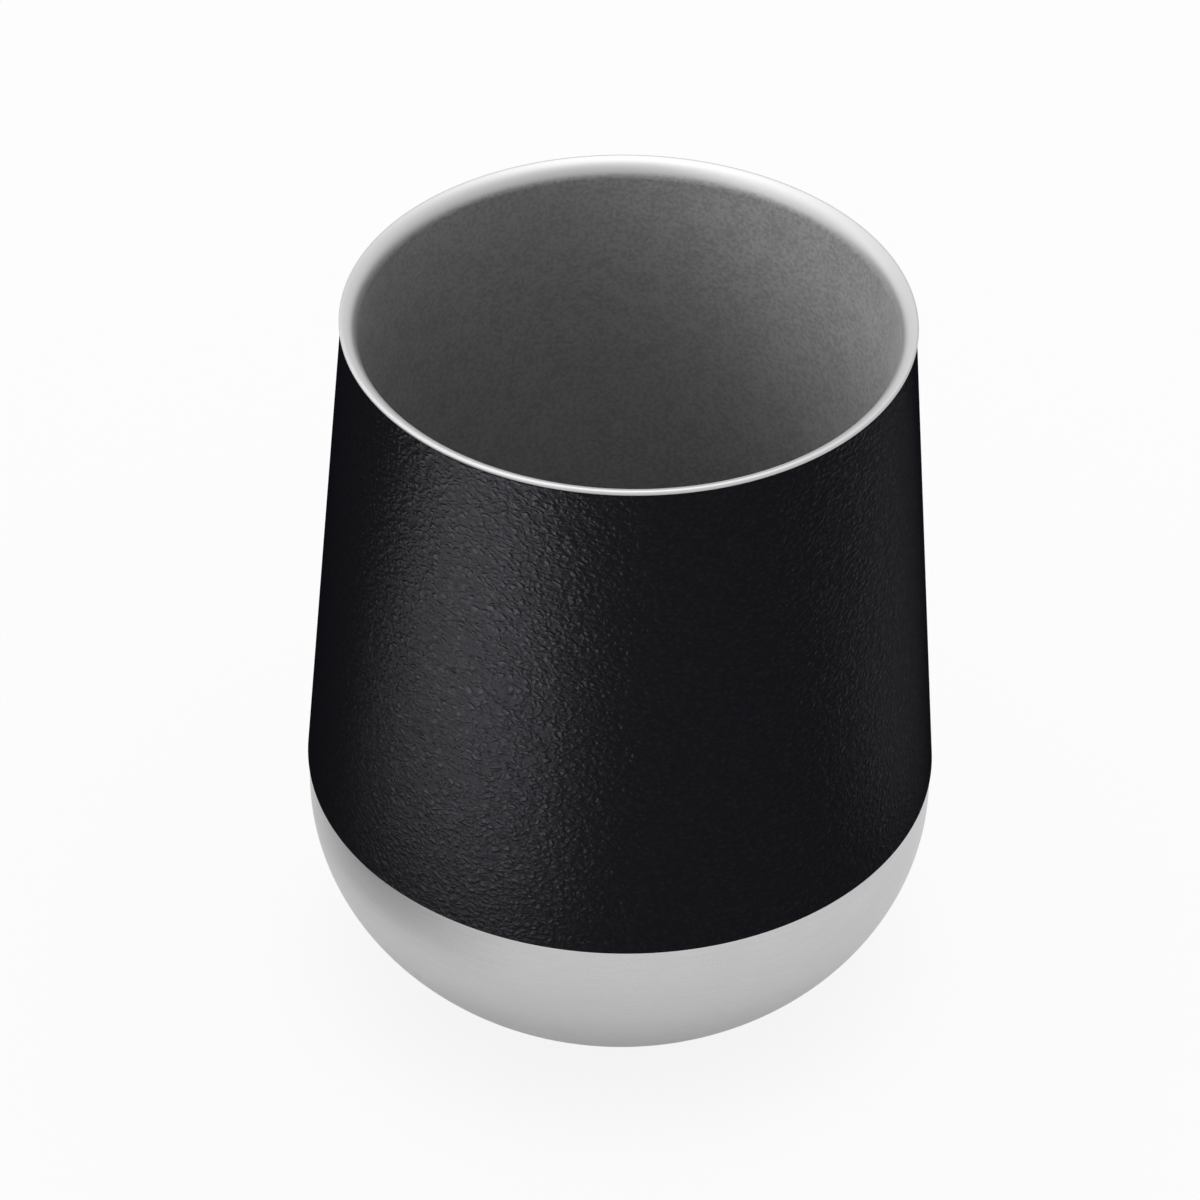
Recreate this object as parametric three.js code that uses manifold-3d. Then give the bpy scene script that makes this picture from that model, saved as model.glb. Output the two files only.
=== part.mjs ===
// Insulated tumbler: a double-walled steel cup with a hemmed lip, an oval bottom and a leather wrap.
// Millimetres, +Z up. The origin lies on the table, under the middle of the base.

import * as THREE from 'three';
import { mergeVertices } from 'three/addons/utils/BufferGeometryUtils.js';
import Module from 'manifold-3d';

const wasm = await Module();
wasm.setup();

// Overall form
const height = 111.5; // table to the top of the lip
const wrapTopRadius = 39.35; // outside of the wrap at its upper edge
const wrapFootRadius = 45.0; // outside of the wrap at its lower edge, the widest place
const wrapFootHeight = 35.2; // table to the lower edge of the wrap
const collarHeight = 4.5; // upright steel band between the wrap and the oval bottom
const footRadius = 22.0; // where the oval bottom would meet the table
const wrapProud = 0.2; // how far the wrap stands out from the steel below it

// Sheets
const wrapThickness = 0.6;
const adhesiveThickness = 0.1;
const shellWall = 0.4; // outer body and bowl
const linerWall = 0.4; // inner cup
const foilThickness = 0.12;

// Lip and mouth
const lipRound = 0.37; // radius of the hemmed lip edge
const lipOverhang = 0.25; // reach of the lip past the wrap's upper edge
const flareDepth = 2.7; // top of the lip down to where the mouth starts to flare
const bodyRimLand = 0.1; // flat left on the rim of the outer body, which is bevelled under the flare

// Inner cup inside the vacuum space
const vacuumMouthGap = 0.76; // between the two walls at the foot of the flare
const vacuumSideGap = 3.6; // between the two walls at the widest place of the inner cup
const vacuumFloorGap = 7.0; // between the two floors
const bellyRise = 3.4; // widest place of the inner cup above the widest place of the bowl
const floorFullness = 2.6; // exponent of the inner cup's bottom: 2 is an ellipse, more is squarer

// Girth joint and base
const spigotHeight = 6.0; // neck of the bowl that stands inside the outer body
const footBlendHeight = 0.9; // height at which the oval bottom starts to turn into the foot
const footRingWidth = 5.5; // foot radius to the recess inside it
const plateSeatWidth = 2.0; // step in the recess that carries the base plate
const plateThickness = 0.4;
const plateInset = 0.36; // table to the underside of the base plate
const plateEdgeRound = 0.15;
const plateDish = 0.12; // depth of the shallow dish in the plate's underside
const plateRim = 3.0; // flat rim of the plate round that dish
const dishSlope = 2.5; // width of the slope from the rim into the dish
const recessDepth = 1.8; // table to the ceiling of the recess
const dimpleRadius = 4.0; // hollow that holds the seal bead
const dimpleDepth = 1.2;
const portRadius = 1.2; // hole that the air is drawn out through
const beadCrown = 0.3; // how far the seal bead swells out of the dimple and the port

// Getter, which keeps the vacuum clean
const getterRadius = 4.0;
const getterThickness = 2.0;
const getterEdge = 0.3; // chamfer of the pressed tablet
const clipWidth = 3.0;
const clipThickness = 0.3;
const clipFoot = 3.0; // length of each welded foot

// Foil round the inner cup
const foilTopDrop = 12.0; // top of the lip down to the foil
const foilFootRise = 2.0; // widest place of the inner cup up to the foil

// Fits
const seatGap = 0.04; // between faces that are welded, glued or seated on each other
const plateClearance = 0.2; // base plate inside its recess
const foilClearance = 0.5; // foil wound loosely, so that it takes little heat from the inner cup
const seamGap = 0.25; // butt seam of each wrapped sheet, at the back
const wrapEdgeRound = 0.2; // worn corner of the wrap's cut edges
const adhesiveInset = 0.6; // adhesive film cut back from the wrap's edges

// Facets
const roundSteps = 56; // round the large pieces
const smallRoundSteps = 24; // round the small pieces
const bottomSteps = 10; // along each bottom curve
const cornerSteps = 4; // along each small round
const flareSteps = 6; // along the flare of the mouth
const mergeDistance = 1e-4; // corners closer than this are one corner

// Heights that follow from the dimensions above
const lipLedgeHeight = height - 2 * lipRound;
const wrapTopHeight = lipLedgeHeight - seatGap;
const shoulderHeight = wrapFootHeight - seatGap;
const bowlWaistHeight = shoulderHeight - collarHeight;
const plateSeatHeight = plateInset + plateThickness + seatGap;
const baseFloorHeight = recessDepth + shellWall;
const linerFloorHeight = baseFloorHeight + vacuumFloorGap + linerWall;
const linerBellyHeight = bowlWaistHeight + bellyRise;
const flareFootHeight = height - flareDepth;

// The wrap, the adhesive under it and the outer body are cones, one inside the next.
function wrapOutside(z) {
  const share = (wrapTopHeight - z) / (wrapTopHeight - wrapFootHeight);
  return THREE.MathUtils.lerp(wrapTopRadius, wrapFootRadius, share);
}

function wrapInside(z) {
  return wrapOutside(z) - wrapThickness;
}

function adhesiveOutside(z) {
  return wrapInside(z) - seatGap;
}

function adhesiveInside(z) {
  return adhesiveOutside(z) - adhesiveThickness;
}

function bodyOutside(z) {
  return adhesiveInside(z) - seatGap;
}

function bodyInside(z) {
  return bodyOutside(z) - shellWall;
}

// Radii of the bowl, the base and the inner cup
const bowlRadius = wrapFootRadius - wrapProud;
const bowlDepth = bowlWaistHeight / Math.sqrt(1 - (footRadius / bowlRadius) ** 2);
const recessRadius = footRadius - footRingWidth;
const plateSeatRadius = recessRadius - plateSeatWidth;
const linerMouthOutside = bodyInside(flareFootHeight) - vacuumMouthGap;
const linerMouthInside = linerMouthOutside - linerWall;
const linerBellyOutside = bodyInside(shoulderHeight) - vacuumSideGap;

// The outside of the inner cup narrows in a straight line from its belly to its mouth.
function linerOutside(z) {
  const share = (flareFootHeight - z) / (flareFootHeight - linerBellyHeight);
  return THREE.MathUtils.lerp(linerMouthOutside, linerBellyOutside, share);
}

// The flare of the mouth is an arc that leaves the wall upright and runs into the round of the lip.
// Its underside is an arc about the same centre, one wall further out, up to the flat under the hem.
const lipCentreRadius = wrapTopRadius + lipOverhang - lipRound;
const lipCentreHeight = height - lipRound;
const flareRun = lipCentreRadius - linerMouthInside;
const flareRise = lipCentreHeight - flareFootHeight;
const flareRadius = (flareRun ** 2 + flareRise ** 2 - lipRound ** 2) / (2 * (flareRun - lipRound));
const flareCentreRadius = linerMouthInside + flareRadius;
const flareEndAngle = Math.PI - Math.atan2(flareRise, flareRadius - flareRun);
const undersideRadius = flareRadius - linerWall;
const undersideEndAngle = Math.PI - Math.asin((lipLedgeHeight - flareFootHeight) / undersideRadius);

// The outer body's rim keeps a seat gap to that underside.
const seatRadius = undersideRadius - seatGap;

function seatHeightUnderFlare(radius) {
  return flareFootHeight + Math.sqrt(seatRadius ** 2 - (flareCentreRadius - radius) ** 2);
}

const bodyRimRadius = bodyOutside(wrapTopHeight) - bodyRimLand;
const bodyRimHeight = seatHeightUnderFlare(bodyRimRadius);
const bodyBevelHeight = seatHeightUnderFlare(bodyInside(wrapTopHeight));

function point(radius, z) {
  return new THREE.Vector2(radius, z);
}

function arc(centreRadius, centreHeight, round, startAngle, endAngle, steps) {
  const curve = new THREE.EllipseCurve(centreRadius, centreHeight, round, round, startAngle, endAngle);
  return curve.getPoints(steps);
}

// Turns an outline of (radius, height) points, listed anticlockwise, round the Z axis.
function revolve(outline, steps) {
  return new THREE.LatheGeometry(outline, steps).rotateX(Math.PI / 2);
}

// Turns a closed outline, whose last point is its first.
function revolveRing(outline, steps) {
  return revolve([...outline, outline[0]], steps);
}

// The inner cup's bottom, from the axis out to its widest place.
function roundedFloor(radius, depth) {
  const power = 2 / floorFullness;
  const points = [];
  for (let step = 0; step <= bottomSteps; step += 1) {
    const angle = (Math.PI / 2) * (step / bottomSteps);
    const r = radius * Math.sin(angle) ** power;
    const z = linerBellyHeight - depth * Math.abs(Math.cos(angle)) ** power;
    points.push(point(r, z));
  }
  return points;
}

// The bowl's oval side, from its widest place down to the flat of the foot at floorHeight.
function ovalSide(radius, depth, floorHeight) {
  const blendStart = floorHeight + footBlendHeight;
  const endAngle = Math.asin((bowlWaistHeight - blendStart) / depth);
  const side = new THREE.EllipseCurve(0, bowlWaistHeight, radius, depth, 0, -endAngle, true);
  const last = point(radius * Math.cos(endAngle), blendStart);
  const tangentRun = (footBlendHeight * radius * Math.tan(endAngle)) / depth;
  const corner = point(last.x - tangentRun, floorHeight);
  const end = point(corner.x - corner.distanceTo(last), floorHeight);
  const blend = new THREE.QuadraticBezierCurve(last, corner, end);
  return [...side.getPoints(bottomSteps), ...blend.getPoints(cornerSteps).slice(1)];
}

function toSolid(geometry) {
  const bare = geometry.clone();
  bare.deleteAttribute('normal');
  bare.deleteAttribute('uv');
  const merged = mergeVertices(bare, mergeDistance);
  const mesh = new wasm.Mesh({
    numProp: 3,
    vertProperties: new Float32Array(merged.attributes.position.array),
    triVerts: new Uint32Array(merged.index.array),
  });
  return new wasm.Manifold(mesh);
}

function toGeometry(solid) {
  const mesh = solid.getMesh();
  const geometry = new THREE.BufferGeometry();
  geometry.setAttribute('position', new THREE.BufferAttribute(mesh.vertProperties, 3));
  geometry.setIndex(new THREE.BufferAttribute(mesh.triVerts, 1));
  geometry.computeVertexNormals();
  return geometry;
}

// Opens a sleeve along its back, where the two edges of the wrapped sheet meet.
function withBackSeam(sleeve) {
  const slit = new THREE.BoxGeometry(seamGap, wrapFootRadius, 2 * height);
  slit.translate(0, wrapFootRadius, height);
  return toGeometry(toSolid(sleeve).subtract(toSolid(slit)));
}

const tumbler = new THREE.Group();

function addPiece(parent, name, geometry, colour, roughness, metalness) {
  const material = new THREE.MeshStandardMaterial({ color: colour, roughness, metalness });
  const mesh = new THREE.Mesh(geometry, material);
  mesh.name = name;
  parent.add(mesh);
  return mesh;
}

// Inner cup: drawn from one sheet, with a flared mouth whose edge is folded under to make the lip
function innerCup() {
  const insideRadius = linerBellyOutside - linerWall;
  const insideDepth = linerBellyHeight - linerFloorHeight;
  const lip = arc(
    lipCentreRadius, lipCentreHeight, lipRound, -Math.PI / 2, flareEndAngle, 2 * cornerSteps,
  );
  const flare = arc(
    flareCentreRadius, flareFootHeight, flareRadius, flareEndAngle, Math.PI, flareSteps,
  );
  const underside = arc(
    flareCentreRadius, flareFootHeight, undersideRadius, undersideEndAngle, Math.PI, flareSteps,
  );
  const outline = [
    ...roundedFloor(linerBellyOutside, insideDepth + linerWall),
    ...underside.reverse(),
    ...lip,
    ...flare.slice(1),
    ...roundedFloor(insideRadius, insideDepth).reverse(),
  ];
  return revolve(outline, roundSteps);
}

// Outer body: the conical upper wall, welded to the bowl and, at its bevelled rim, under the flare
function outerBody() {
  const outline = [
    point(bodyRimRadius, bodyRimHeight),
    point(bodyInside(bodyBevelHeight), bodyBevelHeight),
    point(bodyInside(wrapFootHeight), wrapFootHeight),
    point(bodyOutside(wrapFootHeight), wrapFootHeight),
    point(bodyOutside(bodyRimHeight), bodyRimHeight),
  ];
  return revolveRing(outline, roundSteps);
}

// Outer bowl: oval bottom with a shoulder and neck at the top, a foot, a recess and a pumping port
function outerBowl() {
  const neckTop = shoulderHeight + spigotHeight;
  const neckOutside = bodyInside(shoulderHeight) - seatGap;
  const neckTopOutside = bodyInside(neckTop) - seatGap;
  const underShoulder = shoulderHeight - shellWall;
  const dimpleTop = recessDepth + dimpleDepth;
  const outline = [
    point(bowlRadius, shoulderHeight),
    point(neckOutside, shoulderHeight),
    point(neckTopOutside, neckTop),
    point(neckTopOutside - shellWall, neckTop),
    point(neckOutside - shellWall, underShoulder),
    point(bowlRadius - shellWall, underShoulder),
    ...ovalSide(bowlRadius - shellWall, bowlDepth - shellWall, shellWall),
    point(recessRadius + shellWall, shellWall),
    point(recessRadius + shellWall, plateSeatHeight + shellWall),
    point(plateSeatRadius + shellWall, plateSeatHeight + shellWall),
    point(plateSeatRadius + shellWall, baseFloorHeight),
    point(dimpleRadius, baseFloorHeight),
    point(portRadius, dimpleTop + shellWall),
    point(portRadius, dimpleTop),
    point(dimpleRadius, recessDepth),
    point(plateSeatRadius, recessDepth),
    point(plateSeatRadius, plateSeatHeight),
    point(recessRadius, plateSeatHeight),
    point(recessRadius, 0),
    ...ovalSide(bowlRadius, bowlDepth, 0).reverse(),
  ];
  return revolveRing(outline, roundSteps);
}

// Leather wrap: a cone of sheet with its edges meeting at the back
function leatherWrap() {
  const topCorner = point(wrapOutside(wrapTopHeight) - wrapEdgeRound, wrapTopHeight - wrapEdgeRound);
  const footCorner = point(wrapOutside(wrapFootHeight) - wrapEdgeRound, wrapFootHeight + wrapEdgeRound);
  const outline = [
    point(wrapInside(wrapTopHeight), wrapTopHeight),
    point(wrapInside(wrapFootHeight), wrapFootHeight),
    ...arc(footCorner.x, footCorner.y, wrapEdgeRound, -Math.PI / 2, 0, cornerSteps),
    ...arc(topCorner.x, topCorner.y, wrapEdgeRound, 0, Math.PI / 2, cornerSteps),
  ];
  return withBackSeam(revolveRing(outline, roundSteps));
}

// Adhesive film between the outer body and the wrap
function wrapAdhesive() {
  const top = wrapTopHeight - adhesiveInset;
  const foot = wrapFootHeight + adhesiveInset;
  const outline = [
    point(adhesiveInside(top), top),
    point(adhesiveInside(foot), foot),
    point(adhesiveOutside(foot), foot),
    point(adhesiveOutside(top), top),
  ];
  return withBackSeam(revolveRing(outline, roundSteps));
}

// Heat-reflecting foil wound loosely round the inner cup
function radiationFoil() {
  const top = height - foilTopDrop;
  const foot = linerBellyHeight + foilFootRise;
  const topInside = linerOutside(top) + foilClearance;
  const footInside = linerOutside(foot) + foilClearance;
  const outline = [
    point(topInside, top),
    point(footInside, foot),
    point(footInside + foilThickness, foot),
    point(topInside + foilThickness, top),
  ];
  return withBackSeam(revolveRing(outline, roundSteps));
}

// Base plate: a disc let into the recess, over the sealed port
function basePlate() {
  const radius = recessRadius - plateClearance;
  const top = plateInset + plateThickness;
  const dishEdge = radius - plateRim;
  const outline = [
    point(0, plateInset + plateDish),
    point(dishEdge - dishSlope, plateInset + plateDish),
    point(dishEdge, plateInset),
    ...arc(
      radius - plateEdgeRound, plateInset + plateEdgeRound, plateEdgeRound, -Math.PI / 2, 0, cornerSteps,
    ),
    point(radius, top),
    point(0, top),
  ];
  return revolve(outline, roundSteps);
}

// Seal bead: melted into the dimple and the port, swelling a little on both sides
function portSealBead() {
  const plugTop = recessDepth + dimpleDepth + shellWall;
  const plugRadius = portRadius - seatGap;
  const crownRadius = dimpleRadius - seatGap;
  const underside = new THREE.EllipseCurve(0, recessDepth, crownRadius, beadCrown, -Math.PI / 2, 0);
  const topside = new THREE.EllipseCurve(0, plugTop, plugRadius, beadCrown, 0, Math.PI / 2);
  const outline = [
    ...underside.getPoints(cornerSteps),
    point(plugRadius, recessDepth + dimpleDepth),
    ...topside.getPoints(cornerSteps),
  ];
  return revolve(outline, smallRoundSteps);
}

// Getter tablet, pressed from powder
function getterTablet() {
  const outline = [
    point(0, 0),
    point(getterRadius - getterEdge, 0),
    point(getterRadius, getterEdge),
    point(getterRadius, getterThickness - getterEdge),
    point(getterRadius - getterEdge, getterThickness),
    point(0, getterThickness),
  ];
  return revolve(outline, smallRoundSteps);
}

// Getter clip: a strap bent over the tablet, with a foot welded down on each side
function getterClip() {
  const legInside = getterRadius + seatGap;
  const legOutside = legInside + clipThickness;
  const reach = legOutside + clipFoot;
  const bridge = getterThickness + seatGap;
  const right = [
    point(legInside, bridge),
    point(legInside, 0),
    point(reach, 0),
    point(reach, clipThickness),
    point(legOutside, clipThickness),
    point(legOutside, bridge + clipThickness),
  ];
  const left = right.map((corner) => point(-corner.x, corner.y)).reverse();
  const strap = new THREE.ExtrudeGeometry(new THREE.Shape([...right, ...left]), {
    depth: clipWidth,
    bevelEnabled: false,
  });
  return strap.rotateX(Math.PI / 2).translate(0, clipWidth / 2, 0);
}

addPiece(tumbler, 'inner_cup', innerCup(), 0xc8c9cb, 0.32, 1.0);
addPiece(tumbler, 'outer_body', outerBody(), 0xbfc0c2, 0.4, 1.0);
addPiece(tumbler, 'outer_bowl', outerBowl(), 0xc2c3c5, 0.36, 1.0);
addPiece(tumbler, 'leather_wrap', leatherWrap(), 0x19191c, 0.6, 0.0);
addPiece(tumbler, 'wrap_adhesive', wrapAdhesive(), 0xd8d2c2, 0.7, 0.0);
addPiece(tumbler, 'radiation_foil', radiationFoil(), 0xd9dadb, 0.2, 1.0);
addPiece(tumbler, 'base_plate', basePlate(), 0xc2c3c5, 0.36, 1.0);
addPiece(tumbler, 'port_seal_bead', portSealBead(), 0x66706c, 0.15, 0.0);

const getter = new THREE.Group();
getter.position.set(0, (dimpleRadius + plateSeatRadius) / 2, baseFloorHeight + seatGap);
addPiece(getter, 'getter_tablet', getterTablet(), 0x5a5b5f, 0.85, 0.4);
addPiece(getter, 'getter_clip', getterClip(), 0xb3b4b6, 0.35, 1.0);
tumbler.add(getter);

export default tumbler;
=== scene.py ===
"""Insulated tumbler with a leather wrap: fine meshes, finishes and a stage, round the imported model."""

import math

import bmesh
import bpy
from bpy.props import FloatProperty, FloatVectorProperty, IntProperty, PointerProperty
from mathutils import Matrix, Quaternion, Vector


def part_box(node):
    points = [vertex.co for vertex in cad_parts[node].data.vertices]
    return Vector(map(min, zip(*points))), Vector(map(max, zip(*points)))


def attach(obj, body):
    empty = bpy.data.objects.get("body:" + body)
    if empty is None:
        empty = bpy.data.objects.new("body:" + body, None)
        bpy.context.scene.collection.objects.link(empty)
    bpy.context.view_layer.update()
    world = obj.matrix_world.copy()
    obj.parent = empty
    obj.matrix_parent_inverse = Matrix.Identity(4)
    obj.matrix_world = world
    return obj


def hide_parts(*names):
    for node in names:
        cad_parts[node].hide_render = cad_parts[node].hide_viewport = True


bl_info = {
    "name": "Insulated Tumbler",
    "version": (1, 0, 0),
    "blender": (4, 5, 0),
    "location": "View3D > Sidebar > Tumbler",
    "description": "Builds a double-walled steel tumbler with a leather wrap, and its stage",
    "category": "Add Mesh",
}

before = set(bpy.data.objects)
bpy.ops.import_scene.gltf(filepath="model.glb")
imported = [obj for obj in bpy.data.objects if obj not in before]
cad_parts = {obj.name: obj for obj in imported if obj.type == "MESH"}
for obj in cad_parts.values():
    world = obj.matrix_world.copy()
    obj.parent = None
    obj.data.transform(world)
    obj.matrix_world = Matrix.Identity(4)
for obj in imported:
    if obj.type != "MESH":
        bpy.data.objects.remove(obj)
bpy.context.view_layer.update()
BODY = "root"
MM = 0.001
WHITE = (1.0, 1.0, 1.0, 1.0)
# Width of the camera's sensor, in millimetres
SENSOR_WIDTH = 36.0
# Gap that stands for a weld or a seat between two pieces
SEAT_GAP = 0.04 * MM
# Largest share of a side that a rounded corner takes up
SIDE_SHARE = 0.45
# Added before rounding down, so that a quotient just short of a whole number still reaches it
COUNT_GUARD = 5e-5
# Added to a radius before dividing by it, because it is 0 on the axis
AXIS_GUARD = 0.01 * MM
# Weight of each finer layer of a noise against the layer before
NOISE_ROUGHNESS = 0.55

CUP_LOW, CUP_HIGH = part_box("inner_cup")
BOWL_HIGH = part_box("outer_bowl")[1]
WRAP_LOW, WRAP_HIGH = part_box("leather_wrap")
PLATE_LOW, PLATE_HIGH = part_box("base_plate")


def length(name, description, default):
    """A size in metres."""
    return FloatProperty(
        name=name, description=description, default=default, precision=5, subtype="DISTANCE", unit="LENGTH"
    )


def turn_angle(name, description, degrees):
    """An angle."""
    return FloatProperty(
        name=name, description=description, default=math.radians(degrees), subtype="ANGLE", unit="ROTATION"
    )


def share(name, description, default):
    """A plain number between 0 and 1."""
    return FloatProperty(
        name=name, description=description, default=default, min=0.0, max=1.0, subtype="FACTOR"
    )


def paint(name, description, default):
    """A colour in linear light."""
    return FloatVectorProperty(
        name=name, description=description, default=default, min=0.0, max=1.0, subtype="COLOR"
    )


def power(name, description, default):
    """A lamp's power."""
    return FloatProperty(name=name, description=description, default=default, min=0.0, unit="POWER")


def spot(name, description, default):
    """A place in metres."""
    return FloatVectorProperty(
        name=name, description=description, default=default, subtype="TRANSLATION", unit="LENGTH"
    )


class TumblerSizes(bpy.types.PropertyGroup):
    """Sizes of the pieces that show"""

    steps_round: IntProperty(name="Steps Round", description="Facets round each turned piece", default=320)
    curve_steps: IntProperty(name="Curve Steps", description="Facets along each large curve", default=48)
    corner_steps: IntProperty(name="Corner Steps", description="Facets along each small round", default=8)
    crease_angle: turn_angle("Crease Angle", "Edges that bend more than this stay sharp", 32.0)
    merge_distance: length("Merge Distance", "Points closer than this become one", 0.002 * MM)
    sheet: length("Sheet", "Thickness of the drawn steel", 0.4 * MM)

    lip_height: length("Lip Height", "Table to the top of the lip", CUP_HIGH.z)
    lip_reach: length("Lip Reach", "Outer radius of the lip", 39.6 * MM)
    lip_round: length("Lip Round", "Radius of the hemmed lip edge", 0.37 * MM)
    flare_depth: length("Flare Depth", "Top of the lip down to the foot of the flare", 2.7 * MM)
    mouth_radius: length("Mouth Radius", "Inside of the cup at the foot of the flare", 37.15 * MM)
    belly_radius: length("Belly Radius", "Inside of the cup at its widest place", 39.82 * MM)
    belly_height: length("Belly Height", "Table to the widest place of the inner cup", 34.06 * MM)
    cup_bottom: length("Cup Bottom", "Table to the underside of the inner cup", CUP_LOW.z)
    floor_fullness: FloatProperty(
        name="Floor Fullness", description="2 makes the inner floor an ellipse, more is squarer", default=2.6
    )

    bowl_radius: length("Bowl Radius", "Outside of the bowl at its widest place", BOWL_HIGH.x)
    neck_top: length("Neck Top", "Table to the top of the neck inside the outer body", BOWL_HIGH.z)
    neck_radius: length("Neck Radius", "Outside of the neck at the shoulder", 43.74 * MM)
    neck_taper: length("Neck Taper", "How much narrower the neck is at its top", 0.45 * MM)
    shoulder_height: length("Shoulder Height", "Table to the shoulder under the wrap", WRAP_LOW.z - SEAT_GAP)
    collar_height: length("Collar Height", "Upright steel band above the oval bottom", 4.5 * MM)
    shoulder_round: length("Shoulder Round", "Bend of the sheet at the shoulder", 0.2 * MM)
    foot_radius: length("Foot Radius", "Where the oval bottom would meet the table", 22.0 * MM)
    foot_blend: length("Foot Blend", "Height at which the oval starts to turn into the foot", 0.9 * MM)
    recess_radius: length("Recess Radius", "Edge of the recess in the foot", 16.5 * MM)
    seat_radius: length("Seat Radius", "Inner edge of the step that carries the base plate", 14.5 * MM)
    seat_height: length("Seat Height", "Table to that step", 0.8 * MM)
    recess_depth: length("Recess Depth", "Table to the ceiling of the recess", 1.8 * MM)
    dimple_radius: length("Dimple Radius", "Hollow that holds the seal bead", 4.0 * MM)
    dimple_depth: length("Dimple Depth", "Depth of that hollow", 1.2 * MM)
    port_radius: length("Port Radius", "Hole that the air is drawn out through", 1.2 * MM)
    bend_round: length("Bend Round", "Bend of the sheet in the foot and the recess", 0.3 * MM)

    plate_radius: length("Plate Radius", "Outside of the base plate", PLATE_HIGH.x)
    plate_round: length("Plate Round", "Rounded edge of the base plate", 0.18 * MM)
    plate_dish: length("Plate Dish", "Depth of the shallow dish in the base plate", 0.12 * MM)
    plate_rim: length("Plate Rim", "Width of the flat rim round that dish", 3.0 * MM)
    dish_slope: length("Dish Slope", "Width of the slope from that rim into the dish", 2.5 * MM)

    wrap_foot_radius: length("Wrap Foot Radius", "Outside of the wrap at its lower edge", WRAP_HIGH.x)
    wrap_top_radius: length("Wrap Top Radius", "Outside of the wrap at its upper edge", 39.35 * MM)
    wrap_thickness: length("Wrap Thickness", "Thickness of the leather", 0.6 * MM)
    wrap_round: length("Wrap Round", "Burnished corner of the leather's cut edges", 0.24 * MM)
    seam_depth: length("Seam Depth", "Depth of the butt seam at the back", 0.34 * MM)
    seam_width: length("Seam Width", "Spread of that seam to each side", 0.28 * MM)
    seam_crowding: share("Seam Crowding", "How closely the facets gather at the seam", 0.9)
    pebble: length("Pebble", "Size of the leather's grain", 0.92 * MM)


class TumblerColours(bpy.types.PropertyGroup):
    """Colours of the finishes"""

    leather: paint("Leather", "Crowns of the leather's grain", (0.0062, 0.0057, 0.008))
    # The creases' darker colour is painted shade, for the shade that falls into the grain's creases
    leather_crease_shade: paint("Leather Crease Shade", "Creases of the leather's grain", (0.0052, 0.0048, 0.0067))
    leather_gloss: paint("Leather Gloss", "Tint of the leather's shine", (0.95, 0.91, 1.0))
    satin: paint("Satin Steel", "Bowl and base plate", (0.69, 0.69, 0.695))
    blasted: paint("Blasted Steel", "Inside wall of the cup", (0.34, 0.34, 0.345))
    # The lip and the flare are one polished steel: the lip's paler colour is painted light and the flare's
    # darker colour painted shade
    polished: paint("Polished Steel", "Lip of the cup", (0.56, 0.56, 0.56))
    flare: paint("Flare Steel In Painted Shade", "Flare of the cup, below the lip", (0.47, 0.47, 0.47))
    drawn: paint("Drawn Steel", "Hidden steel", (0.5, 0.5, 0.51))
    film: paint("Film", "Adhesive film", (0.62, 0.57, 0.47))
    foil: paint("Foil", "Heat-reflecting foil", (0.8, 0.8, 0.81))
    powder: paint("Powder", "Getter tablet", (0.1, 0.1, 0.11))
    glass: paint("Glass", "Seal bead", (0.13, 0.16, 0.15))
    floor: paint("Floor", "Floor", (0.92, 0.92, 0.92))


class TumblerTextures(bpy.types.PropertyGroup):
    """Roughness, relief and grain of the finishes"""

    leather_roughness: share("Leather Roughness", "Roughness of the shine in the leather's creases", 0.37)
    leather_relief: length("Leather Relief", "Height of the leather's grain", 0.065 * MM)
    leather_pore: length("Leather Pore", "Size of the leather's pores", 0.16 * MM)
    crease_gloss: share("Crease Gloss", "Share of shine in the leather's creases, seen straight on", 0.14)
    crown_gloss: share("Crown Gloss", "What the crowns of the grain add to that share", 0.09)
    bowl_roughness: share("Bowl Roughness", "Roughness of the bowl", 0.36)
    bowl_relief: length("Bowl Relief", "Depth of the bowl's brush lines", 0.004 * MM)
    plate_roughness: share("Plate Roughness", "Roughness of the base plate", 0.3)
    plate_relief: length("Plate Relief", "Depth of the base plate's spun rings", 0.008 * MM)
    line_pitch: length("Line Pitch", "Width of those lines and rings", 0.07 * MM)
    blasted_roughness: share("Blasted Roughness", "Roughness of the cup's inside wall", 0.52)
    blasted_dullness: share("Blasted Dullness", "How far that wall is from the look of bare metal", 0.45)
    blasted_speck: length("Blasted Speck", "Size of the pits in that wall", 0.6 * MM)
    blasted_relief: length("Blasted Relief", "Depth of those pits", 0.06 * MM)
    blasted_mottle: length("Blasted Mottle", "Size of that wall's pale and dark patches", 3.2 * MM)
    polished_roughness: share("Polished Roughness", "Roughness of the flare and the lip", 0.46)
    # Where the painted light of the lip's crest fades into the painted shade of the flare
    crest_foot: length("Crest Foot", "Top of the lip down to where the lip's colour begins", 1.4 * MM)
    crest_top: length("Crest Top", "Top of the lip down to where that colour is full", 0.3 * MM)
    body_roughness: share("Body Roughness", "Roughness of the outer body", 0.42)
    clip_roughness: share("Clip Roughness", "Roughness of the getter clip", 0.32)


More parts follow.
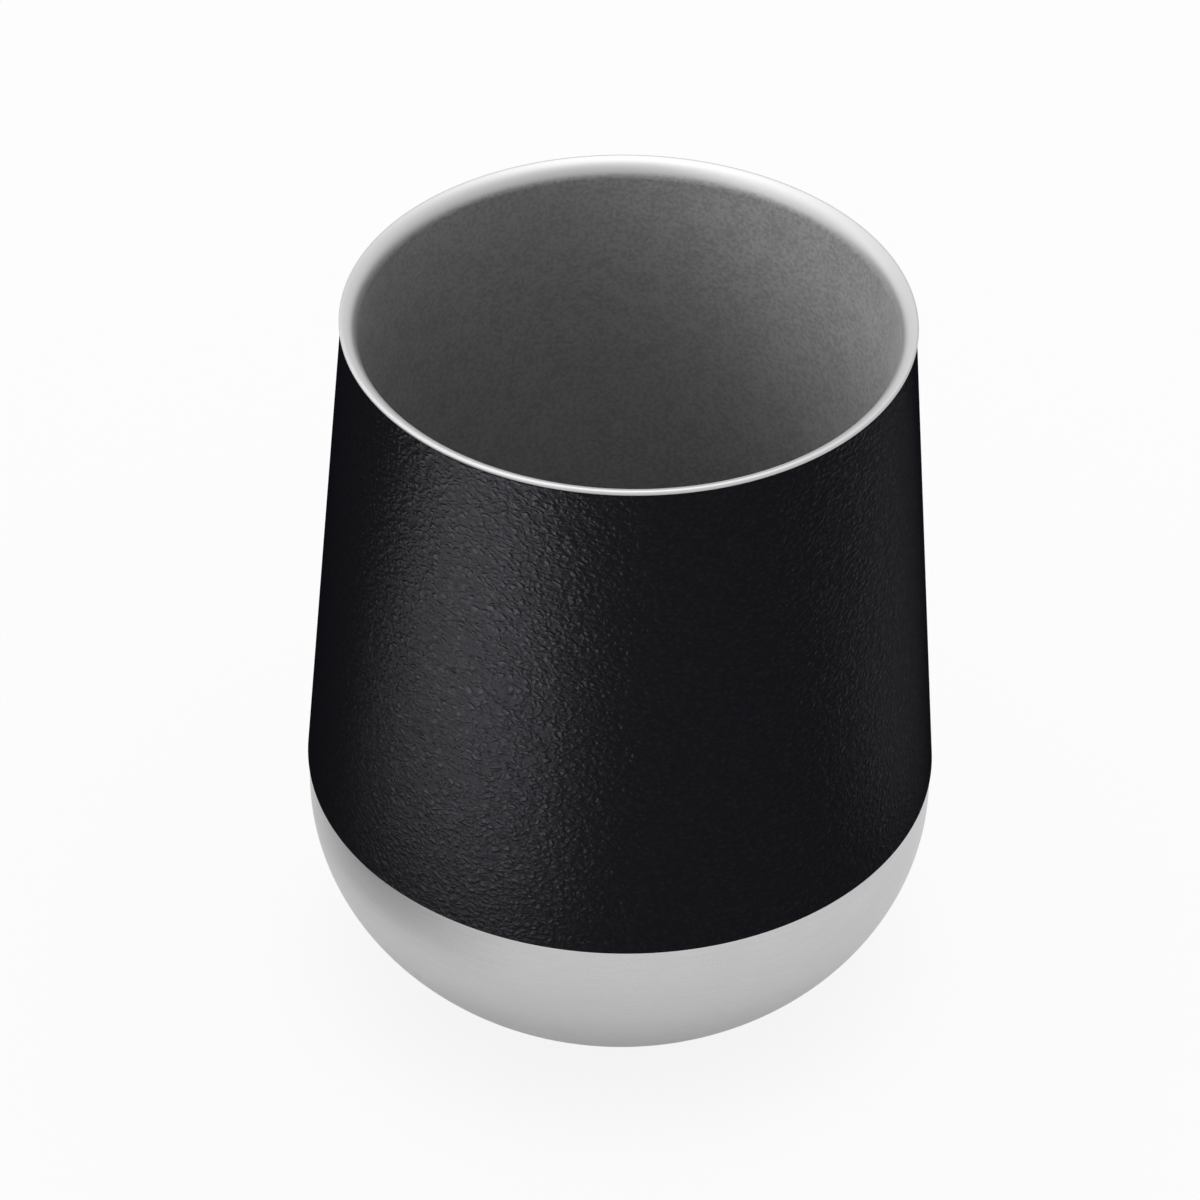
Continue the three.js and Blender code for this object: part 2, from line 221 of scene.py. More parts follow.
class TumblerStage(bpy.types.PropertyGroup):
    """Camera and light"""

    camera_target: spot("Camera Target", "Middle of the picture", (-3.26 * MM, 0.0, 62.13 * MM))
    camera_distance: length("Camera Distance", "Camera to target", 849.7 * MM)
    camera_elevation: turn_angle("Camera Elevation", "Angle above the horizon", 38.31)
    camera_roll: turn_angle("Camera Roll", "Turn round the line of sight", 1.01)
    camera_lens: FloatProperty(
        name="Lens", description="Focal length on a 36 mm sensor", default=180.06, subtype="DISTANCE_CAMERA"
    )
    floor_span: length("Floor Span", "Side of the floor", 12.0)
    floor_glow: share("Floor Glow", "Share of plain white in the floor that the camera sees", 0.85)
    metal_glow: share("Metal Glow", "Share of plain white in the floor that metal and glass reflect", 0.05)
    room_light: FloatProperty(name="Room Light", description="Level of light from all round", default=0.75)
    top_place: spot("Top Light", "Where the top light hangs", (0.0, 0.1, 1.0))
    top_side: length("Top Light Side", "Side of the square top light", 0.8)
    top_power: power("Top Light Power", "Power of the top light", 2.6)
    left_place: spot("Left Softbox", "Where the softbox on the left hangs", (-0.62, -0.1, 0.45))
    left_side: length("Left Softbox Side", "Side of that square softbox", 0.5)
    left_power: power("Left Softbox Power", "Power of that softbox", 6.8)
    mouth_power: power("Mouth Softbox Power", "Power of its twin, which only reflections see", 4.4)
    strip_turn: turn_angle("Strip Turn", "Way from the cup to the strip light, from -X towards -Y", 36.5)
    strip_reach: length("Strip Reach", "Axis of the cup to the middle of the strip light", 0.243)
    strip_length: length("Strip Length", "Length of the strip light, away from the cup", 0.285)
    strip_width: length("Strip Width", "Width of the strip light", 0.17)
    strip_lift: length("Strip Lift", "Floor to the strip light", 4 * MM)
    strip_power: power("Strip Power", "Power of the strip light", 2.2)
    edge_turn: turn_angle("Edge Strip Turn", "Way to the strip at the right edge, from -X towards -Y", 208.0)
    edge_reach: length("Edge Strip Reach", "Axis of the cup to the middle of that strip", 0.17)
    edge_length: length("Edge Strip Length", "Length of that strip, away from the cup", 0.2)
    edge_width: length("Edge Strip Width", "Width of that strip", 0.12)
    edge_power: power("Edge Strip Power", "Power of that strip", 0.3)
    # The card below paints shade into the reflections of the steel; nothing else sees it
    card_back: turn_angle("Card Back", "Back end of a soft dark card on the floor, from -X towards -Y", -14.0)
    card_front: turn_angle("Card Front", "Front end of that card, from -X towards -Y", 42.0)
    card_blur: turn_angle("Card Blur", "Angle to each side of those ends over which the card fades", 26.0)
    card_near: length("Card Near", "Axis of the cup to where the card is half dark", 0.076)
    card_soft: length("Card Softness", "Width over which that inner edge fades", 0.04)
    card_far: length("Card Far", "Axis of the cup to where the card has faded out again", 0.4)
    card_lift: length("Card Lift", "Floor to the card", 0.5 * MM)
    card_level: share("Card Level", "Level of that card", 0.15)


class Term:
    """A node's output that Python can calculate with."""

    def __init__(self, bench, socket):
        self.bench = bench
        self.socket = socket

    def maths(self, operation, first, second):
        """A Math node on two numbers or terms."""
        return self.bench.term("ShaderNodeMath", {"operation": operation}, {0: first, 1: second})

    def __add__(self, other):
        return self.maths("ADD", self, other)

    def __radd__(self, other):
        return self.maths("ADD", other, self)

    def __sub__(self, other):
        return self.maths("SUBTRACT", self, other)

    def __rsub__(self, other):
        return self.maths("SUBTRACT", other, self)

    def __mul__(self, other):
        return self.maths("MULTIPLY", self, other)

    def __truediv__(self, other):
        return self.maths("DIVIDE", self, other)

    def __rtruediv__(self, other):
        return self.maths("DIVIDE", other, self)

    def apply(self, operation, other=0.0):
        """Any other Math node, such as SINE or MINIMUM."""
        return self.maths(operation, self, other)


class Bench:
    """A node tree under construction."""

    def __init__(self, tree):
        self.tree = tree

    def node(self, kind, settings=None, inputs=None):
        """Adds a node: its settings first, then the values or links of its sockets."""
        made = self.tree.nodes.new(kind)
        for name, setting in (settings or {}).items():
            setattr(made, name, setting)
        for key, value in (inputs or {}).items():
            if isinstance(value, Term):
                self.tree.links.new(value.socket, made.inputs[key])
            else:
                made.inputs[key].default_value = value
        return made

    def term(self, kind, settings=None, inputs=None, output=0):
        """Adds a node and wraps one of its outputs."""
        return Term(self, self.node(kind, settings, inputs).outputs[output])

    def split(self, place):
        """The three coordinates of a place."""
        axes = self.node("ShaderNodeSeparateXYZ", None, {"Vector": place})
        return [Term(self, output) for output in axes.outputs]


# Outlines, as lists of (radius, height)


def arc(centre, radius, start, end, steps):
    """Points on a circle, both ends included."""
    points = []
    for step in range(steps + 1):
        angle = start + (end - start) * step / steps
        points.append((centre[0] + radius * math.cos(angle), centre[1] + radius * math.sin(angle)))
    return points


def between(first, last, t):
    """The point at a share t of the way from first to last."""
    return (first[0] + (last[0] - first[0]) * t, first[1] + (last[1] - first[1]) * t)


def blend(first, corner, last, steps):
    """Points on a curve that leaves first towards corner and reaches last from there."""
    points = []
    for step in range(steps + 1):
        t = step / steps
        points.append(between(between(first, corner, t), between(corner, last, t), t))
    return points


def straight(first, last, steps):
    """Points on a line, crowded at both ends so that smooth shading stays true between them."""
    shares = [(1 - math.cos(math.pi * step / steps)) / 2 for step in range(steps + 1)]
    return [between(first, last, t) for t in shares]


def towards(first, last, distance):
    """The point that lies a distance from first on the way to last."""
    return between(first, last, min(distance / math.dist(first, last), SIDE_SHARE))


def soften(corners, cut, steps):
    """Rounds every corner but the first and the last."""
    points = [corners[0]]
    for before, corner, after in zip(corners, corners[1:], corners[2:]):
        points += blend(towards(corner, before, cut), corner, towards(corner, after, cut), steps)
    points.append(corners[-1])
    return points


def rounded_floor(sizes, radius, bottom):
    """The inner cup's floor, from the axis out to its widest place."""
    exponent = 2 / sizes.floor_fullness
    depth = sizes.belly_height - bottom
    points = []
    for step in range(sizes.curve_steps + 1):
        angle = math.pi / 2 * step / sizes.curve_steps
        sink = depth * abs(math.cos(angle)) ** exponent
        points.append((radius * math.sin(angle) ** exponent, sizes.belly_height - sink))
    return points


def oval_side(sizes, inset, floor):
    """The bowl's side, from its widest place down to the flat of the foot."""
    waist = sizes.shoulder_height - sizes.collar_height
    radius = sizes.bowl_radius - inset
    depth = waist / math.sqrt(1 - (sizes.foot_radius / sizes.bowl_radius) ** 2) - inset
    blend_start = floor + sizes.foot_blend
    end_angle = math.asin((waist - blend_start) / depth)
    points = []
    for step in range(sizes.curve_steps + 1):
        angle = end_angle * step / sizes.curve_steps
        points.append((radius * math.cos(angle), waist - depth * math.sin(angle)))
    tangent_run = sizes.foot_blend * radius * math.tan(end_angle) / depth
    corner = (points[-1][0] - tangent_run, floor)
    last = (corner[0] - math.dist(corner, points[-1]), floor)
    return points + blend(points[-1], corner, last, sizes.corner_steps)[1:]


def cup_outline(sizes):
    """Inner cup: from the axis up the outside, over the hemmed lip, and down the inside."""
    wall = sizes.sheet
    mouth_outside = sizes.mouth_radius + wall
    ledge = sizes.lip_height - 2 * sizes.lip_round
    flare_foot = sizes.lip_height - sizes.flare_depth
    lip_centre = (sizes.lip_reach - sizes.lip_round, sizes.lip_height - sizes.lip_round)
    run = lip_centre[0] - sizes.mouth_radius
    rise = lip_centre[1] - flare_foot
    flare_radius = (run**2 + rise**2 - sizes.lip_round**2) / (2 * (run - sizes.lip_round))
    flare_centre = (sizes.mouth_radius + flare_radius, flare_foot)
    flare_end = math.pi - math.atan2(rise, flare_radius - run)
    under_radius = flare_radius - wall
    under_end = math.pi - math.asin((ledge - flare_foot) / under_radius)
    lip_steps = 3 * sizes.corner_steps
    outside = rounded_floor(sizes, sizes.belly_radius + wall, sizes.cup_bottom)
    inside = rounded_floor(sizes, sizes.belly_radius, sizes.cup_bottom + wall)
    outside_wall = straight(outside[-1], (mouth_outside, flare_foot), sizes.corner_steps)
    inside_wall = straight((sizes.mouth_radius, flare_foot), inside[-1], sizes.curve_steps)
    lip = arc(lip_centre, sizes.lip_round, -math.pi / 2, flare_end, lip_steps)
    flare = arc(flare_centre, flare_radius, flare_end, math.pi, lip_steps)
    underside = arc(flare_centre, under_radius, math.pi, under_end, sizes.corner_steps)
    points = outside + outside_wall[1:] + underside[1:]
    points += lip + flare[1:] + inside_wall[1:]
    points += inside[-2::-1]
    return points


def bowl_outline(sizes):
    """Outer bowl: neck, shoulder, oval bottom, foot, recess and port, as one bent sheet."""
    wall = sizes.sheet
    shoulder = sizes.shoulder_height
    neck_top_radius = sizes.neck_radius - sizes.neck_taper
    ceiling = sizes.recess_depth
    dimple_top = ceiling + sizes.dimple_depth
    inner_side = oval_side(sizes, wall, wall)
    outer_side = oval_side(sizes, 0.0, 0.0)
    neck = [
        (sizes.bowl_radius, outer_side[0][1]),
        (sizes.bowl_radius, shoulder),
        (sizes.neck_radius, shoulder),
        (neck_top_radius, sizes.neck_top),
        (neck_top_radius - wall, sizes.neck_top),
        (sizes.neck_radius - wall, shoulder - wall),
        (sizes.bowl_radius - wall, shoulder - wall),
        inner_side[0],
    ]
    base = [
        inner_side[-1],
        (sizes.recess_radius + wall, wall),
        (sizes.recess_radius + wall, sizes.seat_height + wall),
        (sizes.seat_radius + wall, sizes.seat_height + wall),
        (sizes.seat_radius + wall, ceiling + wall),
        (sizes.dimple_radius, ceiling + wall),
        (sizes.port_radius, dimple_top + wall),
        (sizes.port_radius, dimple_top),
        (sizes.dimple_radius, ceiling),
        (sizes.seat_radius, ceiling),
        (sizes.seat_radius, sizes.seat_height),
        (sizes.recess_radius, sizes.seat_height),
        (sizes.recess_radius, 0.0),
        outer_side[-1],
    ]
    points = soften(neck, sizes.shoulder_round, sizes.corner_steps)
    points += inner_side[1:-1]
    points += soften(base, sizes.bend_round, sizes.corner_steps)
    points += outer_side[-2::-1]
    return points


def plate_outline(sizes):
    """Base plate: a disc with a rounded edge and a shallow dish in its underside."""
    bottom = PLATE_LOW.z
    top = PLATE_HIGH.z
    edge = sizes.plate_round
    dish_edge = sizes.plate_radius - sizes.plate_rim
    dish_corner = (dish_edge - sizes.dish_slope / 2, bottom + sizes.plate_dish)
    dish_end = (dish_edge - sizes.dish_slope, bottom + sizes.plate_dish)
    corner = (sizes.plate_radius - edge, bottom + edge)
    points = [(0.0, bottom + sizes.plate_dish)]
    points += blend(dish_end, dish_corner, (dish_edge, bottom), sizes.corner_steps)
    points += arc(corner, edge, -math.pi / 2, 0.0, sizes.corner_steps)
    points += [(sizes.plate_radius, top), (0.0, top)]
    return points


def wrap_outline(sizes):
    """Leather wrap: a sheet between two cones, and how much each point follows the seam."""
    foot = WRAP_LOW.z
    top = WRAP_HIGH.z
    edge = sizes.wrap_round
    lean = math.atan2(sizes.wrap_foot_radius - sizes.wrap_top_radius, top - foot)
    foot_corner = (sizes.wrap_foot_radius - edge, foot + edge)
    top_corner = (sizes.wrap_top_radius - edge, top - edge)
    foot_round = arc(foot_corner, edge, -math.pi / 2, lean, sizes.corner_steps)
    top_round = arc(top_corner, edge, lean, math.pi / 2, sizes.corner_steps)
    side = straight(foot_round[-1], top_round[0], sizes.curve_steps)
    back_top = (sizes.wrap_top_radius - sizes.wrap_thickness, top)
    back_foot = (sizes.wrap_foot_radius - sizes.wrap_thickness, foot)
    outer = foot_round + side[1:-1] + top_round
    points = [back_foot] + outer + [back_top, back_foot]
    return points, [0.0] + [1.0] * len(outer) + [0.0, 0.0]


# Turning an outline round the axis


def turned_sheet():
    """Geometry Nodes tree that turns an outline round the Z axis, with an optional seam at the back."""
    tree = bpy.data.node_groups.new("Turned Sheet", "GeometryNodeTree")
    bench = Bench(tree)
    sockets = {
        "Outline": "NodeSocketGeometry",
        "Steps Round": "NodeSocketInt",
        "Crowding": "NodeSocketFloat",
        "Seam Depth": "NodeSocketFloat",
        "Seam Width": "NodeSocketFloat",
        "Crease Angle": "NodeSocketFloat",
        "Merge Distance": "NodeSocketFloat",
        "Finish": "NodeSocketMaterial",
    }
    for name, kind in sockets.items():
        tree.interface.new_socket(name, in_out="INPUT", socket_type=kind)
    tree.interface.new_socket("Sheet", in_out="OUTPUT", socket_type="NodeSocketGeometry")
    given_node = bench.node("NodeGroupInput")
    given = {name: Term(bench, given_node.outputs[name]) for name in sockets}

    rows = bench.term(
        "GeometryNodeAttributeDomainSize",
        {"component": "MESH"},
        {"Geometry": given["Outline"]},
        "Point Count",
    )
    grid_inputs = {"Vertices X": given["Steps Round"] + 1, "Vertices Y": rows}
    grid = bench.term("GeometryNodeMeshGrid", None, grid_inputs, "Mesh")
    index = bench.term("GeometryNodeInputIndex")
    column = (index / rows + COUNT_GUARD).apply("FLOOR")
    row = index - column * rows

    def on_outline(kind, value):
        """What the outline's point of this row holds."""
        inputs = {"Geometry": given["Outline"], "Value": value, "Index": row}
        return bench.term("GeometryNodeSampleIndex", {"data_type": kind, "domain": "POINT"}, inputs)

    place = on_outline("FLOAT_VECTOR", bench.term("GeometryNodeInputPosition"))
    outline_skin = bench.term(
        "GeometryNodeInputNamedAttribute", {"data_type": "FLOAT"}, {"Name": "skin"}, "Attribute"
    )
    skin = on_outline("FLOAT", outline_skin)
    radius, _, height = bench.split(place)

    turn = column / given["Steps Round"] * math.tau
    angle = turn - given["Crowding"] * turn.apply("SINE")
    from_seam = angle.apply("MINIMUM", math.tau - angle) * radius / given["Seam Width"]
    # Sinks at the seam, between two low ridges
    spread = from_seam * from_seam
    groove = given["Seam Depth"] * (1 - spread / 3) * (0 - spread / 2).apply("EXPONENT")
    sunk = radius - groove * skin
    heading = angle + math.pi / 2
    turned_place = bench.term(
        "ShaderNodeCombineXYZ",
        None,
        {"X": sunk * heading.apply("COSINE"), "Y": sunk * heading.apply("SINE"), "Z": height},
    )
    turned = bench.term("GeometryNodeSetPosition", None, {"Geometry": grid, "Position": turned_place})
    merge_inputs = {"Geometry": turned, "Distance": given["Merge Distance"]}
    closed = bench.term("GeometryNodeMergeByDistance", None, merge_inputs)
    smooth = bench.term("GeometryNodeSetShadeSmooth", {"domain": "FACE"}, {"Geometry": closed})
    bend = bench.term("GeometryNodeInputMeshEdgeAngle", None, None, "Unsigned Angle")
    sharp = bench.term(
        "FunctionNodeCompare",
        {"data_type": "FLOAT", "operation": "GREATER_THAN"},
        {0: bend, 1: given["Crease Angle"]},
    )
    creased = bench.term(
        "GeometryNodeSetShadeSmooth",
        {"domain": "EDGE"},
        {"Geometry": smooth, "Selection": sharp, "Shade Smooth": False},
    )
    real = bench.term("GeometryNodeRealizeInstances", None, {"Geometry": creased})
    dressed = bench.term("GeometryNodeSetMaterial", None, {"Geometry": real, "Material": given["Finish"]})
    bench.node("NodeGroupOutput", None, {"Sheet": dressed})
    return tree


def set_inputs(modifier, values):
    """Sets a modifier's inputs by their sockets' identifiers."""
    for item in modifier.node_group.interface.items_tree:
        if item.item_type == "SOCKET" and item.name in values:
            modifier[item.identifier] = values[item.name]


def turn_piece(name, outline, sizes, finish, skin=None, crowding=0.0):
    """Makes a plain mesh object by turning an outline round the axis."""
    tree = bpy.data.node_groups.get("Turned Sheet") or turned_sheet()
    wire = bpy.data.meshes.new(name + "_outline")
    links = [(place, place + 1) for place in range(len(outline) - 1)]
    wire.from_pydata([(radius, 0.0, height) for radius, height in outline], links, [])
    follows = wire.attributes.new("skin", "FLOAT", "POINT")
    follows.data.foreach_set("value", skin or [0.0] * len(outline))
    piece = bpy.data.objects.new(name, wire)
    bpy.context.scene.collection.objects.link(piece)
    modifier = piece.modifiers.new("Turned Sheet", "NODES")
    modifier.node_group = tree
    values = {
        "Steps Round": sizes.steps_round,
        "Crowding": crowding,
        "Seam Depth": sizes.seam_depth,
        "Seam Width": sizes.seam_width,
        "Crease Angle": sizes.crease_angle,
        "Merge Distance": sizes.merge_distance,
        "Finish": finish,
    }
    set_inputs(modifier, values)
    evaluated = piece.evaluated_get(bpy.context.evaluated_depsgraph_get())
    mesh = bpy.data.meshes.new_from_object(evaluated)
    piece.modifiers.remove(modifier)
    piece.data = mesh
    mesh.name = name
    bpy.data.meshes.remove(wire)
    check_closed(mesh)
    return piece


def check_closed(mesh):
    """Stops the script if a mesh isn't one closed skin whose faces point outwards."""
    shape = bmesh.new()
    shape.from_mesh(mesh)
    open_edges = [edge for edge in shape.edges if not edge.is_manifold]
    volume = shape.calc_volume(signed=True)
    shape.free()
    if open_edges or volume <= 0:
        raise RuntimeError(f"{mesh.name}: {len(open_edges)} open edges, volume {volume}")


def hand_over(piece, node):
    """Lets a piece stand for a CAD node."""
    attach(piece, BODY)
    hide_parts(node)


# Finishes


def new_finish(name):
    """An empty material, and the bench for its nodes."""
    material = bpy.data.materials.new(name)
    material.use_nodes = True
    material.node_tree.nodes.clear()
    return material, Bench(material.node_tree)


def principled(bench, inputs):
    """The shader that every finish of a piece is made of."""
    return bench.term("ShaderNodeBsdfPrincipled", None, inputs)


def show(bench, shader):
    """Ends a material in a shader."""
    bench.node("ShaderNodeOutputMaterial", None, {"Surface": shader})


def show_mix(bench, amount, first, second):
    """Ends a material in a shader between two shaders."""
    show(bench, bench.term("ShaderNodeMixShader", None, {0: amount, 1: first, 2: second}))


def object_place(bench):
    """The object's own coordinates, in metres."""
    return bench.term("ShaderNodeTexCoord", output="Object")


def grain(bench, place, size, detail=2.0):
    """Noise whose features are about a size wide."""
    inputs = {"Vector": place, "Scale": 1 / size, "Detail": detail, "Roughness": NOISE_ROUGHNESS}
    return bench.term("ShaderNodeTexNoise", {"noise_dimensions": "3D"}, inputs, "Fac")


def cells(bench, place, size, feature):
    """Distance to a feature of cells that are about a size wide."""
    inputs = {"Vector": place, "Scale": 1 / size}
    return bench.term("ShaderNodeTexVoronoi", {"feature": feature}, inputs, "Distance")


def swing(noise, amount):
    """Noise moved to lie about 0, within half an amount to each side."""
    return (noise - 0.5) * amount


def fade(bench, value, low, high):
    """0 below low, 1 above high and smooth between."""
    inputs = {"Value": value, "From Min": low, "From Max": high}
    return bench.term("ShaderNodeMapRange", {"interpolation_type": "SMOOTHSTEP"}, inputs, "Result")


def scaled(colour, factor):
    """A darker or paler colour."""
    return tuple(factor * value for value in colour)


def tint(bench, amount, first, second):
    """A colour between two colours."""
    shades = [shade if isinstance(shade, Term) else (*shade, 1.0) for shade in (first, second)]
    inputs = {0: amount, 6: shades[0], 7: shades[1]}
    return bench.term("ShaderNodeMix", {"data_type": "RGBA"}, inputs, 2)


def relief(bench, height, depth):
    """A bump that is a depth high where height is 1."""
    return bench.term("ShaderNodeBump", None, {"Distance": depth, "Height": height})


def from_axis(x, y):
    """Distance from the axis."""
    return (x * x + y * y).apply("SQRT")


def ring_grain(bench, pitch, streak, detail=2.0):
    """Noise drawn out into rings round the axis that are about a pitch wide."""
    x, y, z = bench.split(object_place(bench))
    radius = from_axis(x, y)
    across = streak / (radius + AXIS_GUARD)
    along = (radius + z) / pitch
    place = bench.term("ShaderNodeCombineXYZ", None, {"X": x * across, "Y": y * across, "Z": along})
    return grain(bench, place, 1.0, detail)


def pebbled_leather(sizes, colours, textures):
    """Black leather with a fine pebble grain: domed crowns, thin creases darkened with painted shade, and
    pores.
    """
    material, bench = new_finish("Pebbled Leather")
    pebble = sizes.pebble
    squash = (0.85, 0.85, 1.1)
    place = bench.term("ShaderNodeMapping", None, {"Vector": object_place(bench), "Scale": squash})
    drift_inputs = {"Vector": place, "Scale": 1 / (1.6 * pebble), "Detail": 2.0}
    drift = bench.term("ShaderNodeTexNoise", None, drift_inputs, "Color")
    reach = 1.3 * pebble
    warp_inputs = {0: drift, 1: (reach, reach, reach), 2: place}
    warped = bench.term("ShaderNodeVectorMath", {"operation": "MULTIPLY_ADD"}, warp_inputs)
    to_crease = cells(bench, warped, pebble, "DISTANCE_TO_EDGE")
    wrinkle = grain(bench, warped, 0.9 * pebble, 1.0)
    pores = grain(bench, place, textures.leather_pore)
    crown = fade(bench, to_crease + swing(wrinkle, 0.6), -0.05, 0.5)
    height = crown + wrinkle * 1.5 + pores * 0.06
    # Painted shade: the creases are coloured darker than the crowns
    colour = tint(bench, crown, colours.leather_crease_shade, colours.leather)
    normal = relief(bench, height, textures.leather_relief)
    matt_inputs = {"Base Color": colour, "Roughness": 0.9, "Specular IOR Level": 0.0, "Normal": normal}
    glossy_inputs = {
        "Base Color": colour,
        "Roughness": textures.leather_roughness - crown * 0.08 + swing(pores, 0.16),
        "Specular IOR Level": 0.5,
        "Specular Tint": (*colours.leather_gloss, 1.0),
        "Normal": normal,
    }
    matt = principled(bench, matt_inputs)
    glossy = principled(bench, glossy_inputs)
    facing = 1 - bench.term("ShaderNodeLayerWeight", None, {"Blend": 0.5}, "Facing")
    gloss = facing * facing * (textures.crease_gloss + crown * textures.crown_gloss)
    show_mix(bench, gloss, matt, glossy)
    return material


def satin_steel(name, colour, line_pitch, roughness, depth):
    """Steel brushed round the axis."""
    material, bench = new_finish(name)
    lines = ring_grain(bench, line_pitch, 7.0, 1.0)
    bands = ring_grain(bench, 0.9 * MM, 2.5)
    specks = grain(bench, object_place(bench), 0.22 * MM)
    marks = lines * 0.6 + specks * 0.4
    inputs = {
        "Base Color": tint(bench, fade(bench, marks, 0.3, 0.7), scaled(colour, 0.88), colour),
        "Metallic": 1.0,
        "Roughness": roughness + swing(lines, 0.14) + swing(bands, 0.06),
        "Normal": relief(bench, marks, depth),
    }
    show(bench, principled(bench, inputs))
    return material


def cup_steel(sizes, colours, textures):
    """Inner cup: blasted wall and floor, polished flare and lip, the polish paler on the lip as painted light
    and darker down the flare as painted shade.
    """
    material, bench = new_finish("Blasted And Polished Steel")
    place = object_place(bench)
    height = bench.split(place)[2]
    flare_foot = sizes.lip_height - sizes.flare_depth
    flare_middle = flare_foot + 0.5 * sizes.flare_depth
    crest_foot = sizes.lip_height - textures.crest_foot
    crest_top = sizes.lip_height - textures.crest_top
    wander = swing(grain(bench, place, 3.0 * MM), 0.18 * MM)
    polished = fade(bench, height + wander, flare_foot, flare_middle)
    blasted = 1 - polished
    specks = grain(bench, place, textures.blasted_speck, 3.0)
    mottle = grain(bench, place, textures.blasted_mottle, 3.0)
    rings = ring_grain(bench, 0.5 * MM, 2.0)
    pits = fade(bench, specks * 0.75 + mottle * 0.25, 0.36, 0.62)
    pitted_colour = tint(bench, pits, scaled(colours.blasted, 0.78), colours.blasted)
    # Painted light and shade: a lit copy of the polished steel on the lip's crest and a shaded copy down the
    # flare
    lit_and_shaded_polish = tint(bench, fade(bench, height, crest_foot, crest_top), colours.flare, colours.polished)
    pitted_roughness = textures.blasted_roughness + swing(specks, 0.16) + swing(mottle, 0.1)
    smooth_roughness = textures.polished_roughness + swing(rings, 0.08)
    inputs = {
        "Base Color": tint(bench, polished, pitted_colour, lit_and_shaded_polish),
        "Metallic": 1 - blasted * textures.blasted_dullness,
        "Roughness": pitted_roughness * blasted + smooth_roughness * polished,
        "Normal": relief(bench, specks * blasted, textures.blasted_relief),
    }
    show(bench, principled(bench, inputs))
    return material


def drawn_steel(name, colour, roughness):
    """Plain sheet steel with drawing marks along the axis."""
    material, bench = new_finish(name)
    place = object_place(bench)
    drawn_out = bench.term("ShaderNodeMapping", None, {"Vector": place, "Scale": (1.0, 1.0, 0.06)})
    marks = grain(bench, drawn_out, 0.3 * MM)
    stain = grain(bench, place, 6.0 * MM, 3.0)
    inputs = {
        "Base Color": tint(bench, stain * 0.6 + marks * 0.4, scaled(colour, 0.82), colour),
        "Metallic": 1.0,
        "Roughness": roughness + swing(marks, 0.2),
        "Normal": relief(bench, marks, 0.006 * MM),
    }
    show(bench, principled(bench, inputs))
    return material


def crinkled_foil(colour):
    """Thin bright foil with small flat creases."""
    material, bench = new_finish("Crinkled Foil")
    place = object_place(bench)
    facets = cells(bench, place, 6.0 * MM, "F1")
    fine = grain(bench, place, 1.4 * MM, 3.0)
    inputs = {
        "Base Color": tint(bench, fine, scaled(colour, 0.85), colour),
        "Metallic": 1.0,
        "Roughness": 0.16 + fine * 0.12,
        "Normal": relief(bench, facets + fine * 0.3, 0.25 * MM),
    }
    show(bench, principled(bench, inputs))
    return material


def clear_film(colour):
    """Adhesive film, slightly cloudy where it has wetted the steel."""
    material, bench = new_finish("Adhesive Film")
    cloud = grain(bench, object_place(bench), 3.0 * MM, 3.0)
    inputs = {
        "Base Color": tint(bench, cloud, colour, scaled(colour, 1.2)),
        "Roughness": 0.35 + cloud * 0.3,
        "Normal": relief(bench, cloud, 0.02 * MM),
    }
    show(bench, principled(bench, inputs))
    return material


def pressed_powder(colour):
    """Sintered metal powder."""
    material, bench = new_finish("Pressed Powder")
    grains = grain(bench, object_place(bench), 0.14 * MM, 3.0)
    inputs = {
        "Base Color": tint(bench, grains, colour, scaled(colour, 1.8)),
        "Metallic": 0.4,
        "Roughness": 0.72 + grains * 0.2,
        "Normal": relief(bench, grains, 0.05 * MM),
    }
    show(bench, principled(bench, inputs))
    return material


def seal_glass(colour):
    """Melted sealing glass with a few bubbles."""
    material, bench = new_finish("Sealing Glass")
    place = object_place(bench)
    bubbles = fade(bench, cells(bench, place, 0.5 * MM, "F1"), 0.1, 0.3)
    flow = grain(bench, place, 1.2 * MM)
    inputs = {
        "Base Color": tint(bench, flow, colour, scaled(colour, 1.7)),
        "Roughness": 0.08 + flow * 0.1,
        "Normal": relief(bench, bubbles, 0.02 * MM),
    }
    show(bench, principled(bench, inputs))
    return material


# The stage


def seen_by(bench):
    """1 for what the camera sees, and 1 for what metal and glass see."""
    path = bench.node("ShaderNodeLightPath")
    names = ("Is Camera Ray", "Is Glossy Ray", "Is Transmission Ray")
    camera, glossy, clear = (Term(bench, path.outputs[name]) for name in names)
    return camera, glossy.apply("MAXIMUM", clear)


def white_light(bench, level):
    """A shader that glows white."""
    return bench.term("ShaderNodeEmission", None, {"Color": WHITE, "Strength": level})


def flat_square(name, half, height, material):
    """A level square sheet round the axis."""
    mesh = bpy.data.meshes.new(name)
    corners = [(-half, -half, height), (half, -half, height), (half, half, height), (-half, half, height)]
    mesh.from_pydata(corners, [], [(0, 1, 2, 3)])
    mesh.materials.append(material)
    square = bpy.data.objects.new(name, mesh)
    bpy.context.scene.collection.objects.link(square)
    return square


def lay_floor(stage, colour):
    """A matt floor that keeps the shadow and looks nearly white to the camera."""
    material, bench = new_finish("Pale Floor")
    matt = bench.term("ShaderNodeBsdfDiffuse", None, {"Color": (*colour, 1.0)})
    camera, metal = seen_by(bench)
    glow = camera * stage.floor_glow + metal * stage.metal_glow
    show_mix(bench, glow, matt, white_light(bench, 1.0))
    floor = flat_square("floor", stage.floor_span / 2, 0.0, material)


